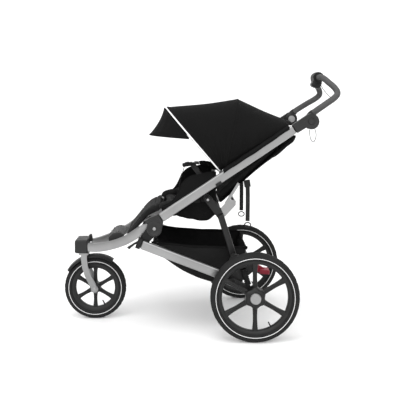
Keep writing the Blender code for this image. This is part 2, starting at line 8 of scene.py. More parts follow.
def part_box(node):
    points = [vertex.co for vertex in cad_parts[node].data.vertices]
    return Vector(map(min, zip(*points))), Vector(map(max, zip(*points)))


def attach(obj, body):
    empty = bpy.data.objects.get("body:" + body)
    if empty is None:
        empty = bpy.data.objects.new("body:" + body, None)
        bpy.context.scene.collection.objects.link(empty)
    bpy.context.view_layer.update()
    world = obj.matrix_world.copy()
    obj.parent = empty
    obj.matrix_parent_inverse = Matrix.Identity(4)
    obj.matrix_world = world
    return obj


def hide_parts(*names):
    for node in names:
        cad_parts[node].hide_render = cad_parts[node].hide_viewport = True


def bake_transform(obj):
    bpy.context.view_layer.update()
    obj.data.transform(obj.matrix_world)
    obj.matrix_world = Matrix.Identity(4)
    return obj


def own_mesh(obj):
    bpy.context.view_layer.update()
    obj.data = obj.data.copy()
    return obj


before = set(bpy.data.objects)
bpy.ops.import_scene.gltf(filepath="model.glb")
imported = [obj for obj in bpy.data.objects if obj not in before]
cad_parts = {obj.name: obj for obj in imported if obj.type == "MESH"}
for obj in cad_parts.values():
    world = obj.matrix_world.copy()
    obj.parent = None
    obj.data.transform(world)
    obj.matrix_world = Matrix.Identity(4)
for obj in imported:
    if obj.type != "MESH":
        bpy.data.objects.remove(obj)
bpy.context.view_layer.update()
SIDES = (("left", -1), ("right", 1))
HINGE = Vector((-0.206, 0.0, 0.497))
MAIN_LOW = Vector((-0.177, 0.0, 0.543))
MAIN_TOP = Vector((0.432, 0.0, 0.949))
HANDLE_PIVOT = (0.507, 0.983)
CANOPY_PIVOT = (0.094, 0.726)
REAR_HUB = (0.2455, 0.2)
FRONT_HUB = (-0.509, 0.1525)
FRONT_BOW = ((0.094, 0.752), (-0.160, 1.046))
MIDDLE_BOW = ((0.120, 0.772), (0.196, 1.087))
REAR_EDGE = ((0.418, 0.968), (0.430, 0.984))
CANOPY_HALF = 0.240
SPRING_TOP = (0.197, 0.318)
SPRING_FOOT = (0.222, 0.236)
SPRING_Y = 0.2737


# ---- camera, floor, light

def linked(name, data):
    thing = bpy.data.objects.new(name, data)
    bpy.context.scene.collection.objects.link(thing)
    return thing


def camera():
    data = bpy.data.cameras.new("camera")
    data.lens = 56.2
    data.sensor_width = 36.0
    data.shift_x = 0.0514
    data.shift_y = -0.239
    thing = linked("camera", data)
    thing.location = (-0.092, -3.11, 1.0607)
    thing.rotation_euler = (math.radians(90), 0, 0)
    bpy.context.scene.camera = thing


def area(name, place, target, size, power):
    data = bpy.data.lights.new(name, "AREA")
    data.shape = "DISK"
    data.size = size
    data.energy = power
    thing = linked(name, data)
    thing.location = place
    aim = Vector(target) - Vector(place)
    thing.rotation_euler = aim.to_track_quat("-Z", "Y").to_euler()


def floor():
    """A level floor that curves up into a back wall."""
    wide, start, radius, steps, top = 14.0, 6.0, 4.0, 16, 12.0
    profile = [(-wide, 0.0), (start, 0.0)]
    for i in range(1, steps + 1):
        a = math.radians(90 * i / steps)
        profile.append((start + radius * math.sin(a), radius * (1 - math.cos(a))))
    profile.append((start + radius, top))
    mesh = bpy.data.meshes.new("floor")
    mesh.from_pydata([(x, y, z) for y, z in profile for x in (-wide, wide)], [],
                     [(2 * i, 2 * i + 1, 2 * i + 3, 2 * i + 2) for i in range(len(profile) - 1)])
    mesh.shade_smooth()
    thing = linked("floor", mesh)
    look = bpy.data.materials.new("floor")
    look.use_nodes = True
    shader = look.node_tree.nodes["Principled BSDF"]
    shader.inputs["Base Color"].default_value = (0.93, 0.93, 0.93, 1)
    shader.inputs["Roughness"].default_value = 0.55
    shader.inputs["Specular IOR Level"].default_value = 0.25
    mesh.materials.append(look)


def studio():
    area("top_light", (-0.4, -0.6, 3.6), (0, 0, 0.4), 2.6, 40)
    area("front_light", (-3.0, -2.6, 2.2), (0, 0, 0.6), 1.8, 18)
    area("rear_light", (2.8, 2.0, 2.4), (0, 0, 0.6), 1.8, 12)
    area("side_light", (1.6, -3.2, 1.6), (0, 0, 0.5), 1.6, 9)
    bpy.context.scene.view_settings.view_transform = "Standard"
    world = bpy.data.worlds.new("studio")
    bpy.context.scene.world = world
    world.use_nodes = True
    back = world.node_tree.nodes["Background"]
    back.inputs["Color"].default_value = (1.0, 1.0, 1.0, 1.0)
    back.inputs["Strength"].default_value = 0.74
    sun = bpy.data.lights.new("sky_panel", "SUN")
    sun.energy = 1.75
    sun.angle = math.radians(70)
    linked("sky_panel", sun).rotation_euler = (math.radians(42), 0, math.radians(-8))


camera()
studio()
floor()


# ---- materials

class Look:
    """A node material built up step by step."""

    def __init__(self, name, roughness, metallic=0.0):
        self.data = bpy.data.materials.new(name)
        self.data.use_nodes = True
        self.tree = self.data.node_tree
        self.shader = self.tree.nodes["Principled BSDF"]
        self.shader.inputs["Roughness"].default_value = roughness
        self.shader.inputs["Metallic"].default_value = metallic
        self.place = self.add("ShaderNodeTexCoord").outputs["Object"]
        self.normal = None

    def add(self, kind, **values):
        node = self.tree.nodes.new(kind)
        for key, value in values.items():
            if hasattr(node, key):
                setattr(node, key, value)
            else:
                node.inputs[key.replace("_", " ")].default_value = value
        return node

    def join(self, out, into):
        self.tree.links.new(out, into)

    def stretch(self, amounts):
        node = self.add("ShaderNodeMapping", Scale=amounts)
        self.join(self.place, node.inputs["Vector"])
        return node.outputs["Vector"]

    def noise(self, scale, detail=2.0, place=None):
        node = self.add("ShaderNodeTexNoise", Scale=scale, Detail=detail)
        self.join(place or self.place, node.inputs["Vector"])
        return node.outputs[0]

    def cells(self, scale):
        node = self.add("ShaderNodeTexVoronoi", Scale=scale)
        self.join(self.place, node.inputs["Vector"])
        return node.outputs["Distance"]

    def bands(self, axis, period):
        node = self.add("ShaderNodeTexWave", bands_direction=axis, Scale=0.3142 / period)
        self.join(self.place, node.inputs["Vector"])
        return node.outputs["Fac"]

    def maths(self, operation, first, second):
        node = self.add("ShaderNodeMath", operation=operation)
        for i, value in enumerate((first, second)):
            if isinstance(value, (int, float)):
                node.inputs[i].default_value = value
            else:
                self.join(value, node.inputs[i])
        return node.outputs[0]

    def colour(self, value, low, high, start=0.3, end=0.7):
        ramp = self.add("ShaderNodeValToRGB")
        ramp.color_ramp.elements[0].position = start
        ramp.color_ramp.elements[1].position = end
        ramp.color_ramp.elements[0].color = (*low, 1)
        ramp.color_ramp.elements[1].color = (*high, 1)
        self.join(value, ramp.inputs[0])
        self.join(ramp.outputs[0], self.shader.inputs["Base Color"])

    def roughen(self, value, low, high):
        node = self.add("ShaderNodeMapRange", From_Min=0.3, From_Max=0.7, To_Min=low, To_Max=high)
        self.join(value, node.inputs["Value"])
        self.join(node.outputs["Result"], self.shader.inputs["Roughness"])

    def bump(self, value, distance, strength=1.0):
        node = self.add("ShaderNodeBump", Strength=strength, Distance=distance)
        self.join(value, node.inputs["Height"])
        if self.normal:
            self.join(self.normal, node.inputs["Normal"])
        self.normal = node.outputs["Normal"]
        self.join(self.normal, self.shader.inputs["Normal"])


def grey(value):
    return (value, value, value)


def cloth_look(name, dark, light, period=0.0016, sheen=0.0, melange=0.5):
    """Woven cloth: the mix of small and broad colour is set by melange."""
    look = Look(name, 0.9)
    small = look.noise(1400, 2.0)
    broad = look.noise(9, 3.0)
    mixed = look.maths("ADD", look.maths("MULTIPLY", small, melange),
                       look.maths("MULTIPLY", broad, 1 - melange))
    look.colour(mixed, dark, light, 0.35, 0.65)
    weave = look.maths("ADD", look.bands("X", period), look.bands("Y", period))
    weave = look.maths("ADD", weave, look.bands("Z", period))
    look.bump(weave, 0.0004, 0.55)
    look.bump(look.noise(55, 3.0), 0.0016, 0.35)
    look.roughen(broad, 0.82, 0.96)
    look.shader.inputs["Sheen Weight"].default_value = sheen
    look.shader.inputs["Sheen Roughness"].default_value = 0.45
    look.shader.inputs["Specular IOR Level"].default_value = 0.10
    return look.data


def metal_look(name, dark, light, low=0.28, high=0.42):
    look = Look(name, 0.35, 0.92)
    grain = look.noise(60, 4.0, look.stretch((3, 22, 22)))
    broad = look.noise(7, 2.0)
    look.colour(look.maths("ADD", look.maths("MULTIPLY", grain, 0.4),
                           look.maths("MULTIPLY", broad, 0.6)), dark, light)
    look.roughen(grain, low, high)
    look.bump(look.noise(1800, 2.0), 0.00006, 0.5)
    return look.data


def plastic_look(name, dark, light, low=0.42, high=0.58, grain=0.00012):
    look = Look(name, 0.5)
    broad = look.noise(14, 3.0)
    look.colour(broad, dark, light)
    look.roughen(look.noise(45, 3.0), low, high)
    look.bump(look.cells(1300), grain, 0.5)
    look.shader.inputs["Specular IOR Level"].default_value = 0.30
    return look.data


def rubber_look():
    look = Look("tyre", 0.85)
    dust = look.noise(30, 4.0)
    look.colour(dust, grey(0.011), grey(0.018))
    look.roughen(dust, 0.7, 0.92)
    look.bump(look.noise(900, 3.0), 0.0002, 0.6)
    look.shader.inputs["Specular IOR Level"].default_value = 0.16
    return look.data


def foam_look():
    look = Look("foam", 0.9)
    cells = look.cells(750)
    look.colour(look.noise(20, 3.0), grey(0.045), grey(0.066))
    look.bump(cells, 0.0006, 0.6)
    look.roughen(cells, 0.8, 0.95)
    return look.data


def webbing_look():
    look = Look("webbing", 0.8)
    rib = look.maths("ADD", look.bands("Z", 0.0021), look.bands("DIAGONAL", 0.0026))
    look.colour(look.noise(500, 2.0), grey(0.0055), grey(0.010))
    look.bump(rib, 0.0005, 0.7)
    look.roughen(look.noise(40), 0.7, 0.9)
    look.shader.inputs["Sheen Weight"].default_value = 0.06
    return look.data


def reflective_look():
    look = Look("reflective_band", 0.35)
    beads = look.cells(1500)
    look.colour(beads, grey(0.60), grey(0.80), 0.1, 0.6)
    look.bump(beads, 0.0001, 0.5)
    look.roughen(beads, 0.25, 0.5)
    return look.data


LOOKS = {
    "aluminium": metal_look("aluminium", grey(0.27), grey(0.35)),
    "fork_alloy": metal_look("fork_alloy", grey(0.24), grey(0.31), 0.3, 0.45),
    "steel": metal_look("steel", grey(0.26), grey(0.38)),
    "grey_plastic": plastic_look("grey_plastic", grey(0.013), grey(0.019)),
    "black_plastic": plastic_look("black_plastic", grey(0.0035), grey(0.0065)),
    "wheel_plastic": plastic_look("wheel_plastic", grey(0.0055), grey(0.0095), 0.34, 0.48),
    "button_plastic": plastic_look("button_plastic", grey(0.20), grey(0.26), 0.35, 0.5),
    "red_plastic": plastic_look("red_plastic", (0.22, 0.012, 0.026), (0.27, 0.018, 0.034)),
    "black_paint": plastic_look("black_paint", grey(0.006), grey(0.010), 0.30, 0.42, 0.00004),
    "tyre": rubber_look(),
    "foam": foam_look(),
    "black_fabric": cloth_look("black_fabric", grey(0.0030), grey(0.0066)),
    # A lighter copy of the black cloth, used only on the basket: painted light standing in for light
    # inside its shaded hollow.
    "basket_fabric_painted_light": cloth_look("basket_fabric_painted_light", grey(0.0085), grey(0.015)),
    "grey_fabric": cloth_look("grey_fabric", grey(0.0075), grey(0.022), 0.0018, 0.03, 0.75),
    "trim": cloth_look("trim", grey(0.0045), grey(0.008), 0.0011),
    "webbing": webbing_look(),
    "reflective": reflective_look(),
}


# ---- mesh helpers

def add_mesh(name, points, faces, look):
    mesh = bpy.data.meshes.new(name)
    mesh.from_pydata([tuple(p) for p in points], [], faces)
    mesh.materials.append(LOOKS[look])
    work = bmesh.new()
    work.from_mesh(mesh)
    bmesh.ops.remove_doubles(work, verts=work.verts, dist=0.00001)
    bmesh.ops.recalc_face_normals(work, faces=work.faces)
    work.to_mesh(mesh)
    work.free()
    mesh.shade_smooth()
    return linked(name, mesh)


def settle(thing, body, node=None):
    """Puts a piece on its body, in place of a CAD node where it has one."""
    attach(thing, body)
    if node:
        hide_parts(node)
    return thing


def applied(thing):
    """Turns the object's modifiers into plain mesh."""
    bpy.context.view_layer.update()
    graph = bpy.context.evaluated_depsgraph_get()
    mesh = bpy.data.meshes.new_from_object(thing.evaluated_get(graph))
    thing.modifiers.clear()
    old = thing.data
    thing.data = mesh
    bpy.data.meshes.remove(old)
    return thing


def grid_faces(rows, columns, close_rows=False, close_columns=False):
    faces = []
    for i in range(rows if close_rows else rows - 1):
        for j in range(columns if close_columns else columns - 1):
            a, b = (i + 1) % rows, (j + 1) % columns
            faces.append((i * columns + j, i * columns + b, a * columns + b, a * columns + j))
    return faces


def skin(name, rows, look, thickness):
    """A fabric sheet through rows of points, with a real thickness."""
    count = len(rows[0])
    thing = add_mesh(name, [p for row in rows for p in row], grid_faces(len(rows), count), look)
    solid = thing.modifiers.new("thickness", "SOLIDIFY")
    solid.thickness = thickness
    solid.offset = 0.0
    solid.use_even_offset = False
    return applied(thing)


def hoops(name, rows, look):
    """A closed body through loops of points, with both ends closed."""
    count = len(rows[0])
    faces = grid_faces(len(rows), count, False, True)
    faces.append(tuple(range(count))[::-1])
    faces.append(tuple(range((len(rows) - 1) * count, len(rows) * count)))
    return add_mesh(name, [p for row in rows for p in row], faces, look)


def curve_through(points, count, closed=False):
    """Evenly read points on a smooth Catmull-Rom curve."""
    p = [Vector(q) for q in points]
    if closed:
        p = [p[-1], *p, p[0], p[1]]
    else:
        p = [p[0] + (p[0] - p[1]), *p, p[-1] + (p[-1] - p[-2])]
    per_span = 16
    dense = []
    for a, b, c, d in zip(p, p[1:], p[2:], p[3:]):
        for k in range(per_span):
            t = k / per_span
            dense.append(0.5 * ((2 * b) + (c - a) * t + (2 * a - 5 * b + 4 * c - d) * t * t
                                + (3 * b - a - 3 * c + d) * t ** 3))
    dense.append(p[-2])
    lengths = [0.0]
    for a, b in zip(dense, dense[1:]):
        lengths.append(lengths[-1] + (b - a).length)
    result = []
    k = 0
    steps = count if closed else count - 1
    for i in range(count):
        s = lengths[-1] * i / steps
        while k < len(lengths) - 2 and lengths[k + 1] < s:
            k += 1
        gap = lengths[k + 1] - lengths[k]
        result.append(dense[k].lerp(dense[k + 1], (s - lengths[k]) / gap if gap else 0))
    return result


def frames(points, closed=False, up=(0, 1, 0)):
    """A steady side and up vector at each point of a path."""
    result = []
    side = None
    n = len(points)
    for i in range(n):
        if closed:
            along = (points[(i + 1) % n] - points[i - 1]).normalized()
        else:
            along = (points[min(i + 1, n - 1)] - points[max(i - 1, 0)]).normalized()
        reference = Vector(up) if side is None else side
        side = reference - along * reference.dot(along)
        if side.length < 1e-5:
            side = along.orthogonal()
        side.normalize()
        result.append((side.copy(), along.cross(side).normalized()))
    return result


def tube(name, points, width, height, look, sides=12, closed=False, up=(0, 1, 0),
         power=2.0, taper=None):
    """A round or flattened tube: width towards the up vector, height across it."""
    points = [Vector(p) for p in points]
    ring = []
    for k in range(sides):
        a = 2 * math.pi * k / sides
        c, s = math.cos(a), math.sin(a)
        ring.append((math.copysign(abs(c) ** (2 / power), c) * width / 2,
                     math.copysign(abs(s) ** (2 / power), s) * height / 2))
    body = []
    for i, (p, (side, lift)) in enumerate(zip(points, frames(points, closed, up))):
        size = taper(i / max(1, len(points) - 1)) if taper else 1.0
        for a, b in ring:
            body.append(p + side * a * size + lift * b * size)
    if closed:
        return add_mesh(name, body, grid_faces(len(points), sides, True, True), look)
    return hoops(name, [body[i:i + sides] for i in range(0, len(body), sides)], look)


def tape(name, points, width, thickness, up=(0, 1, 0), look="webbing"):
    """Flat webbing with square edges."""
    return tube(name, points, width, thickness, look, up=up, power=6)


def turned(name, profile, centre, look, steps=96, closed=True):
    """A ring turned about a line along Y through the centre."""
    body = []
    for k in range(steps):
        a = 2 * math.pi * k / steps
        for r, y in profile:
            body.append((centre[0] + r * math.cos(a), centre[1] + y, centre[2] + r * math.sin(a)))
    faces = grid_faces(steps, len(profile), True, closed)
    if not closed:
        faces.append(tuple(k * len(profile) for k in range(steps)))
        faces.append(tuple(k * len(profile) + len(profile) - 1 for k in range(steps))[::-1])
    return add_mesh(name, body, faces, look)


def block(name, size, centre, look, turn=(0, 0, 0), edge=0.002, segments=3):
    """A moulded block with rounded edges, turned about X, Y and Z in degrees."""
    work = bmesh.new()
    bmesh.ops.create_cube(work, size=1.0)
    bmesh.ops.scale(work, vec=size, verts=work.verts)
    bmesh.ops.bevel(work, geom=work.edges[:], offset=edge, segments=segments, profile=0.5,
                    affect="EDGES")
    mesh = bpy.data.meshes.new(name)
    work.to_mesh(mesh)
    work.free()
    mesh.materials.append(LOOKS[look])
    mesh.shade_smooth()
    spin = (Matrix.Rotation(math.radians(turn[2]), 4, "Z")
            @ Matrix.Rotation(math.radians(turn[1]), 4, "Y")
            @ Matrix.Rotation(math.radians(turn[0]), 4, "X"))
    mesh.transform(Matrix.Translation(centre) @ spin)
    return linked(name, mesh)


def joined(name, *things):
    """One object from several."""
    points, faces, looks, slots = [], [], [], []
    for thing in things:
        start = len(points)
        points += [v.co.copy() for v in thing.data.vertices]
        own = [m.name for m in thing.data.materials]
        for m in own:
            if m not in looks:
                looks.append(m)
        for f in thing.data.polygons:
            faces.append(tuple(start + i for i in f.vertices))
            slots.append(looks.index(own[f.material_index]))
        bpy.data.objects.remove(thing)
    mesh = bpy.data.meshes.new(name)
    mesh.from_pydata([tuple(p) for p in points], [], faces)
    for m in looks:
        mesh.materials.append(bpy.data.materials[m])
    for f, s in zip(mesh.polygons, slots):
        f.material_index = s
    mesh.shade_smooth()
    mesh.set_sharp_from_angle(angle=math.radians(50))
    return linked(name, mesh)


def inflate(thing, voxel, cap, pressure=4.0):
    """Swells a closed pad with a short cloth simulation, no point moving past the cap."""
    last_frame = 20
    remesh = thing.modifiers.new("remesh", "REMESH")
    remesh.mode = "VOXEL"
    remesh.voxel_size = voxel
    applied(thing)
    start = [v.co.copy() for v in thing.data.vertices]
    cloth = thing.modifiers.new("cloth", "CLOTH")
    cloth.settings.quality = 4
    cloth.settings.mass = 0.25
    cloth.settings.tension_stiffness = 18
    cloth.settings.compression_stiffness = 18
    cloth.settings.bending_stiffness = 0.5
    cloth.settings.use_pressure = True
    cloth.settings.uniform_pressure_force = pressure
    cloth.settings.effector_weights.gravity = 0
    cloth.point_cache.frame_start = 1
    cloth.point_cache.frame_end = last_frame
    for number in range(1, last_frame + 1):
        bpy.context.scene.frame_set(number)
    applied(thing)
    bpy.context.scene.frame_set(1)
    for v, old in zip(thing.data.vertices, start):
        step = v.co - old
        if step.length > cap:
            v.co = old + step * (cap / step.length)
    return thing


def press(thing, depth_at):
    """Moves each point inward along its normal by the depth the function gives."""
    thing.data.update()
    moves = [v.normal * -depth_at(v.co, v.normal) for v in thing.data.vertices]
    for v, m in zip(thing.data.vertices, moves):
        v.co += m
    thing.data.update()


def refine(thing):
    """Subdivides a piece once, smoothly."""
    thing.modifiers.new("smooth", "SUBSURF").levels = 1
    applied(thing)
    thing.data.shade_smooth()
    return thing


def groove(value, centre, width):
    """How deep a groove is at a value: 1 at its centre, fading over its width."""
    return math.exp(-((value - centre) / width) ** 2)


# ---- cords first

def hanging_straps():
    """Recline straps of ribbed webbing, each with its ring and sewn end."""
    for name, _ in SIDES:
        low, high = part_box(f"recline_strap_{name}")
        x = (low.x + high.x) / 2
        y = (low.y + high.y) / 2
        route = curve_through([(x, y, high.z), (x + 0.001, y, (low.z + high.z) / 2 + 0.02),
                               (x, y, low.z + 0.0005)], 25)
        strap = tape(f"strap_{name}", route, 0.020, 0.0016, (1, 0, 0))
        settle(strap, "upper_frame", f"recline_strap_{name}")
        ring_low, ring_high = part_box(f"strap_ring_{name}")
        centre = (ring_low + ring_high) / 2
        steps = 40
        ring = []
        for k in range(steps):
            a = 2 * math.pi * k / steps
            ring.append(centre + Vector((0.0150 * math.cos(a), 0, 0.0118 * math.sin(a))))
        loop = tube(f"ring_{name}", ring, 0.0066, 0.0054, "black_plastic", closed=True)
        settle(loop, "upper_frame", f"strap_ring_{name}")
        settle(block(f"strap_adjuster_{name}", (0.030, 0.009, 0.034),
                     (x - 0.002, y, high.z - 0.004), "black_plastic", (0, -8, 0), 0.0030),
               "upper_frame")


CORD = [(0.5245, 0.9492), (0.5300, 0.930), (0.5290, 0.908), (0.5175, 0.889),
        (0.5060, 0.903), (0.5015, 0.925), (0.5010, 0.9460)]


def hanging_cord():
    """The thin loop of cord under the left handle joint."""
    route = curve_through([(x, -0.2655, z) for x, z in CORD], 33)
    cord = tube("cord_loop", route, 0.0028, 0.0028, "webbing", 10)
    settle(cord, "upper_frame", "brake_cord")


hanging_straps()
hanging_cord()


# ---- CAD nodes that stay

def soften(node, look, width=0.0012, angle=38):
    """Welds, rounds and shades a CAD node with modifiers, and gives it its material."""
    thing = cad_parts[node]
    thing.data.materials.clear()
    thing.data.materials.append(LOOKS[look])
    thing.data.shade_smooth()
    weld = thing.modifiers.new("weld", "WELD")
    weld.merge_threshold = 0.00002
    if width:
        round_off = thing.modifiers.new("rounding", "BEVEL")
        round_off.width = width
        round_off.segments = 2
        round_off.limit_method = "ANGLE"
        round_off.angle_limit = math.radians(angle)
        round_off.harden_normals = True
    thing.modifiers.new("normals", "WEIGHTED_NORMAL").keep_sharp = True


def both(*names):
    return tuple(f"{name}_{side}" for name in names for side, _ in SIDES)


KEPT = {
    "aluminium": both("main_tube", "lower_tube", "front_tube"),
    "fork_alloy": ("fork",),
    "grey_plastic": ("front_bracket", *both("hinge_knuckle", "handle_joint", "swing_arm", "knuckle",
                                            "handle_button")),
    "black_plastic": ("mudguard", "swivel_lock_knob", "fold_latch", "twist_brake",
                      *both("hinge_lug")),
    "black_paint": ("rear_cross_tube", *both("rear_leg")),
    "steel": ("front_axle", "rocker_frame", *both("release_cap")),
    "red_plastic": ("parking_pedal",),
}


def kept_nodes():
    thin = ("fork", "mudguard", "front_axle", "rear_cross_tube", "fold_latch", "rocker_frame")
    for look, names in KEPT.items():
        for name in names:
            soften(name, look, 0.0005 if name in thin else 0.0012)


kept_nodes()


def two_tone_rocker():
    """Dark link plates, bright U arms."""
    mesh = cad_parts["rocker_frame"].data
    mesh.materials.append(LOOKS["black_paint"])
    for f in mesh.polygons:
        spot = f.center
        if spot.x < 0.112 and spot.z < 0.655:
            f.material_index = 1


two_tone_rocker()


# ---- wheels

def tyre(name, centre, radius, half, body):
    """A tyre with block tread and a thin reflective line round each side."""
    half_ring = ((0.0380, 0.58), (0.0350, 0.80), (0.0310, 0.93), (0.0245, 1.0), (0.0175, 0.985),
                 (0.0120, 0.90), (0.0085, 0.80), (0.0050, 0.64), (0.0025, 0.46), (0.0012, 0.30),
                 (0.0012, 0.10))
    profile = [(radius - d, half * w) for d, w in half_ring]
    profile += [(radius - d, -half * w) for d, w in reversed(half_ring)]
    steps, tread, tread_rows = 216, 0.0016, 5
    body_points = []
    count = len(profile)
    for k in range(steps):
        a = 2 * math.pi * k / steps
        for j, (r, y) in enumerate(profile):
            from_middle = abs(j - (count - 1) / 2)
            out = r
            if from_middle < tread_rows:
                lane = 0 if from_middle < 2 else 3
                cut = (k + lane + (2 if j < count / 2 else 0)) % 6 < 2
                out = min(r + 0.0012 - (tread if cut else 0.0), radius)
            body_points.append((centre[0] + out * math.cos(a), centre[1] + y,
                                centre[2] + out * math.sin(a)))
    thing = add_mesh(f"{name}_tyre_tread", body_points, grid_faces(steps, count, True, True),
                     "tyre")
    thing.data.set_sharp_from_angle(angle=math.radians(55))
    settle(thing, body, f"{name}_tyre")
    for label, side in SIDES:
        y = side * half
        mid = radius - (0.0243 if name.startswith("rear") else 0.0225)
        band = [(mid - 0.0014, y * 0.985), (mid - 0.0009, y + side * 0.0005),
                (mid + 0.0009, y + side * 0.0005), (mid + 0.0014, y * 0.985),
                (mid, y * 0.955)]
        settle(turned(f"{name}_reflector_{label}", band, centre, "reflective", 144), body)


def rim(name, centre, radius, half, hub, spoke, body, outer):
    """Rim ring, six tapered spokes and a scalloped hub in one moulding, and a hub cap's edge."""
    seat = radius - 0.038
    inner = radius - (0.052 if name.startswith("rear") else 0.0565)
    profile = [(seat + 0.0015, half * 0.64), (seat + 0.0035, half * 0.56),
               (seat + 0.0035, -half * 0.56), (seat + 0.0015, -half * 0.64),
               (seat - 0.004, -half * 0.60), (inner + 0.003, -half * 0.46), (inner, -half * 0.34),
               (inner, half * 0.34), (inner + 0.003, half * 0.46), (seat - 0.004, half * 0.60)]
    parts = [turned(f"{name}_ring", profile, centre, "wheel_plastic", 144)]
    c = Vector(centre)
    for k in range(6):
        a = math.radians(30 + 60 * k)
        out = Vector((math.cos(a), 0, math.sin(a)))
        line = [c + out * (hub * 0.72 + (inner + 0.004 - hub * 0.72) * t / 14)
                for t in range(15)]
        parts.append(tube(f"{name}_spoke_{k}", line, spoke, half * 0.72, "wheel_plastic", 16,
                          up=(-math.sin(a), 0, math.cos(a)), power=3.2,
                          taper=lambda t: 1.28 - 0.34 * math.sin(
                              math.pi * min(1, t * 1.05)) ** 0.8))
        rib = [c + out * (hub * 0.9 + (inner - hub * 0.9) * t / 8) for t in range(9)]
        parts.append(tube(f"{name}_rib_{k}", rib, spoke * 0.30, half * 0.86, "wheel_plastic", 10,
                          up=(-math.sin(a), 0, math.cos(a)), power=4))
    depth = half * 1.30
    rings = ((0.40, depth * 0.98), (0.52, depth), (0.62, depth * 0.90), (0.78, depth * 0.84),
             (0.92, depth * 0.76), (1.0, depth * 0.58), (1.0, -depth * 0.58),
             (0.92, -depth * 0.76), (0.78, -depth * 0.84), (0.52, -depth), (0.40, -depth * 0.98))
    body_points = []
    steps = 72
    for k in range(steps):
        a = 2 * math.pi * k / steps
        for share, y in rings:
            wave = 1.0 + 0.075 * math.cos(6 * (a - math.radians(30))) * max(0.0, share - 0.5) * 2
            body_points.append((centre[0] + hub * share * wave * math.cos(a), centre[1] + y,
                                centre[2] + hub * share * wave * math.sin(a)))
    parts.append(add_mesh(f"{name}_hub", body_points,
                          grid_faces(steps, len(rings), True, True), "wheel_plastic"))
    a = math.radians(-62)
    out = Vector((math.cos(a), 0, math.sin(a)))
    foot = c + out * inner
    parts.append(tube(f"{name}_valve", [foot, foot - out * 0.010, foot - out * 0.022], 0.007,
                      0.007, "black_plastic", 12, taper=lambda t: 1.0 - 0.25 * t))
    settle(joined(f"{name}_wheel_moulding", *parts), body, f"{name}_rim")
    if outer:
        profile = [(hub * 0.40, 0.0), (hub * 0.47, 0.0018 * outer), (hub * 0.55, 0.0006 * outer),
                   (hub * 0.47, -0.002 * outer)]
        settle(turned(f"{name}_hub_ring", profile, c + Vector((0, outer * depth, 0)), "steel", 72),
               body)


def wheels():
    for name, side in SIDES:
        centre = (REAR_HUB[0], side * 0.320, REAR_HUB[1])
        tyre(f"rear_{name}", centre, REAR_HUB[1], 0.0235, f"rear_wheel_{name}")
        rim(f"rear_{name}", centre, REAR_HUB[1], 0.0235, 0.046, 0.021, f"rear_wheel_{name}", side)
    centre = (FRONT_HUB[0], 0.0, FRONT_HUB[1])
    tyre("front", centre, FRONT_HUB[1], 0.0225, "front_wheel")
    rim("front", centre, FRONT_HUB[1], 0.0225, 0.028, 0.0190, "front_wheel", 0)


wheels()


# ---- canopy and visor

def bow(base, apex, half, count=61):
    """Points along a canopy bow, square-shouldered, from its left foot to its right."""
    power = 2.6
    points = []
    for i in range(count):
        angle = math.pi * i / (count - 1)
        y = -half * math.copysign(abs(math.cos(angle)) ** (2 / power), math.cos(angle))
        rise = math.sin(angle) ** (2 / power) if 0 < i < count - 1 else 0.0
        points.append(Vector((base[0] + (apex[0] - base[0]) * rise, y,
                              base[1] + (apex[1] - base[1]) * rise)))
    return points


def tube_line(x):
    """Height of the main tube's middle at x."""
    return MAIN_LOW.z + (MAIN_TOP.z - MAIN_LOW.z) * (x - MAIN_LOW.x) / (MAIN_TOP.x - MAIN_LOW.x)


def between(first, second, part):
    return tuple(tuple(a + (b - a) * part for a, b in zip(p, q)) for p, q in zip(first, second))


def stretched(first, second, count, sag, pleats):
    """Fabric rows pulled tight between two bows, sagging between them and gathered at the feet."""
    heart = Vector((0.110, 0.0, 0.790))
    rows = []
    for i in range(count):
        t = i / (count - 1)
        row = bow(*between(first, second, t), CANOPY_HALF)
        for k, p in enumerate(row):
            u = k / (len(row) - 1)
            rise = math.sin(math.pi * u)
            inward = (heart - p).normalized()
            dip = sag * math.sin(math.pi * t) * min(1.0, rise * 1.6)
            fold = 0.0022 * math.sin(2 * math.pi * pleats * t + 0.9 * math.sin(7 * u))
            fold *= math.exp(-(rise / 0.42) ** 2) * math.sin(math.pi * t)
            drift = 0.0010 * math.sin(9 * u + 5 * t) * math.sin(math.pi * t) * rise
            row[k] = p + inward * (dip + fold + drift)
        rows.append(row)
    return rows


def canopy():
    front = skin("canopy_front_cloth", stretched(FRONT_BOW, MIDDLE_BOW, 33, 0.0050, 6),
                 "black_fabric", 0.0018)
    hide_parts("canopy_front_fabric")
    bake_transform(front)
    rear = skin("canopy_rear_cloth", stretched(MIDDLE_BOW, REAR_EDGE, 25, 0.0030, 4),
                "black_fabric", 0.0018)
    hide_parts("canopy_rear_fabric")
    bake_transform(rear)
    for name, proud, shift, wide, high, look in (
            ("piping", 0.001, 0.001, 0.0068, 0.0046, "reflective"),
            ("front_hem", 0.0002, 0.0080, 0.0110, 0.0042, "trim")):
        edge = [p + Vector((shift, 0, 0.001)) for p in bow(*FRONT_BOW, CANOPY_HALF + proud, 91)]
        settle(tube(f"canopy_{name}", edge, wide, high, look, up=(1, 0, 0), power=2.6),
               "canopy_front")
    for name, shape, body, wide in (("middle", MIDDLE_BOW, "canopy_middle", 0.0050),
                                    ("rear", REAR_EDGE, "upper_frame", 0.0080)):
        line = bow(*shape, CANOPY_HALF + 0.0006, 81)
        settle(tube(f"canopy_{name}_seam", line, wide, 0.0036, "trim", 10, up=(1, 0, 0)), body)
    soften("canopy_front_bow", "black_plastic", 0.0003)
    soften("canopy_middle_bow", "black_plastic", 0.0003)
    for name, side in SIDES:
        profile = [(0.0, 0.0), (0.014, 0.0), (0.016, side * 0.002), (0.016, side * 0.007),
                   (0.0, side * 0.007)]
        settle(turned(f"canopy_pivot_{name}", profile, (CANOPY_PIVOT[0], side * 0.2415,
                                                        CANOPY_PIVOT[1]), "black_plastic", 48,
                      False), "upper_frame")


